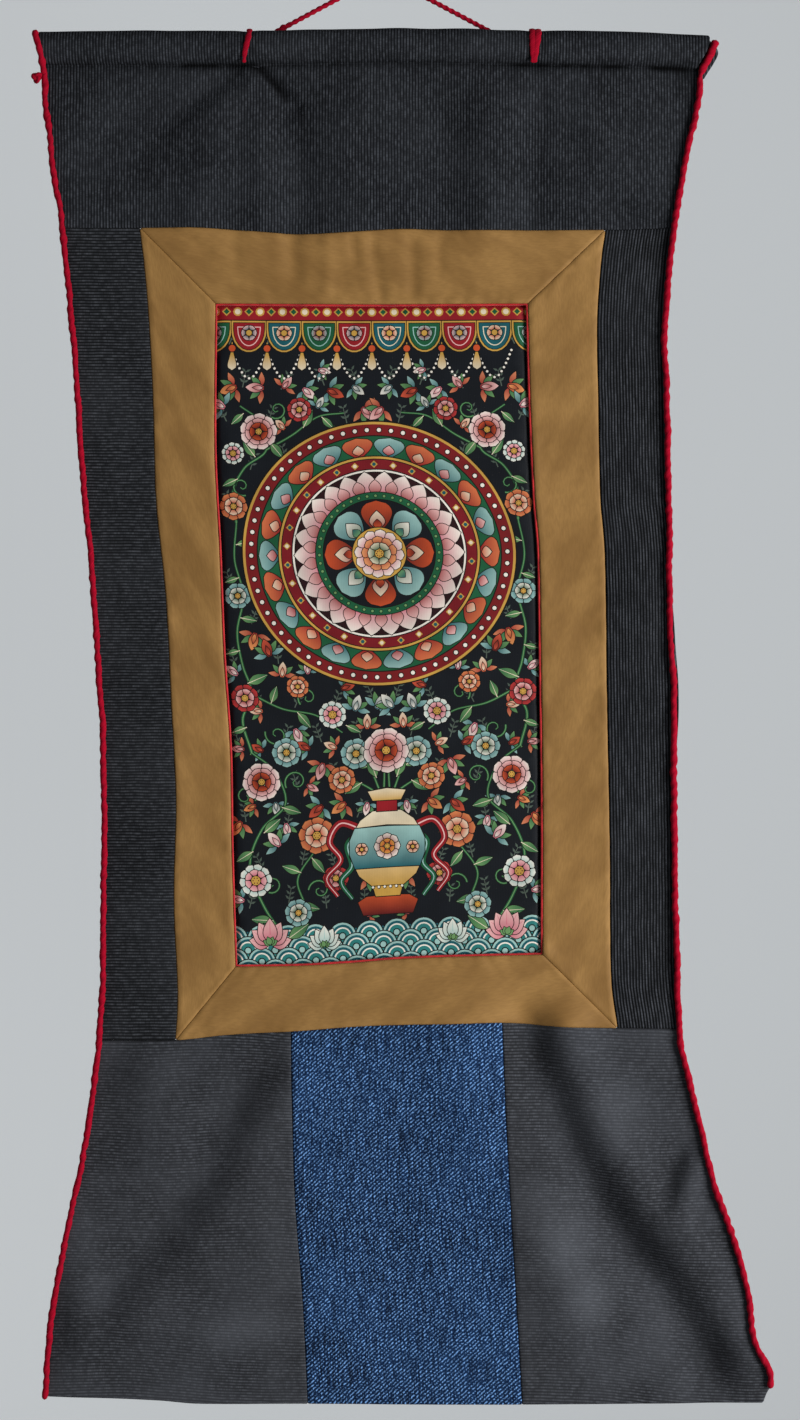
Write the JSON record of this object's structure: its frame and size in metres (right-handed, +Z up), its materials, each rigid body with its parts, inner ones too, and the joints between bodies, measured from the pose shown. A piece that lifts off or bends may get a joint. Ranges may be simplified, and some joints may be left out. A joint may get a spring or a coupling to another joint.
{
  "type": "thangka scroll painting",
  "caption": "Small painted cloth scroll in a mitred cotton frame, sewn into a ribbed dark hanging with a denim skirt panel, a rod sleeve and a yarn hanger.",
  "frame": {"origin": "the hanging point: where the yarn hanger bears on its nail, under the yarn's apex", "axes": "+X to the viewer's right, +Y towards the wall behind, +Z up; the painted face looks along -Y"},
  "size_m": [0.4067, 0.0195, 0.7893],
  "materials": {
    "ribbed_cloth": "matt ribbed charcoal cotton",
    "denim": "indigo denim twill",
    "tan_cotton": "smooth tan cotton sateen",
    "painted_canvas": "matt distemper paint on primed cotton",
    "red_piping": "folded red cotton strip",
    "red_yarn": "twisted crimson wool yarn"
  },
  "bodies": {
    "root": {"border_left": "ribbed_cloth", "border_right": "ribbed_cloth", "edge_knot": "red_yarn", "edge_yarn_left": "red_yarn", "edge_yarn_right": "red_yarn", "frame_bottom": "tan_cotton", "frame_left": "tan_cotton", "frame_right": "tan_cotton", "frame_top": "tan_cotton", "hanging_yarn": "red_yarn", "painted_canvas": "painted_canvas", "painting_piping": "red_piping", "skirt_denim": "denim", "skirt_left": "ribbed_cloth", "skirt_right": "ribbed_cloth", "tie_left": "red_yarn", "tie_right": "red_yarn", "top_panel": "ribbed_cloth"}
  },
  "joints": []
}
